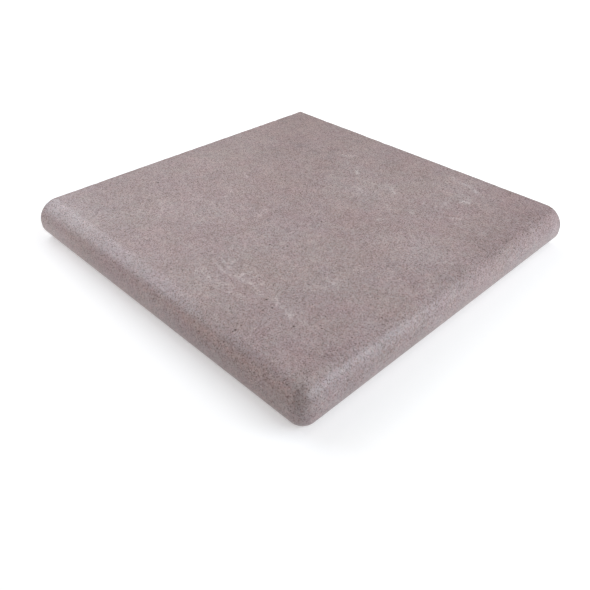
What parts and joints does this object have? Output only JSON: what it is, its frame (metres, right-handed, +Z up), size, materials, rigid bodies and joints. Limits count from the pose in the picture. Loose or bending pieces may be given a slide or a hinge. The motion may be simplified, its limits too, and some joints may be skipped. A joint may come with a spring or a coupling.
{
  "type": "corner stair tread tile",
  "caption": "Square stoneware tread tile for the outer corner of a step, with a rounded nose along adjoining sides and plain butt edges where straight treads join.",
  "frame": {"origin": "on the floor under the middle of the tile's square outline", "axes": "+Z up out of the walking face; the noses face +X and -Y, so the rounded corner is at +X -Y; the butt edges face -X and +Y"},
  "size_m": [0.33, 0.33, 0.034],
  "materials": {
    "stoneware": "satin stone-look glaze, mottled mauve grey; bare fired clay underneath and on the butt edges"
  },
  "bodies": {
    "root": {"corner_tread_tile": "stoneware"}
  },
  "joints": []
}
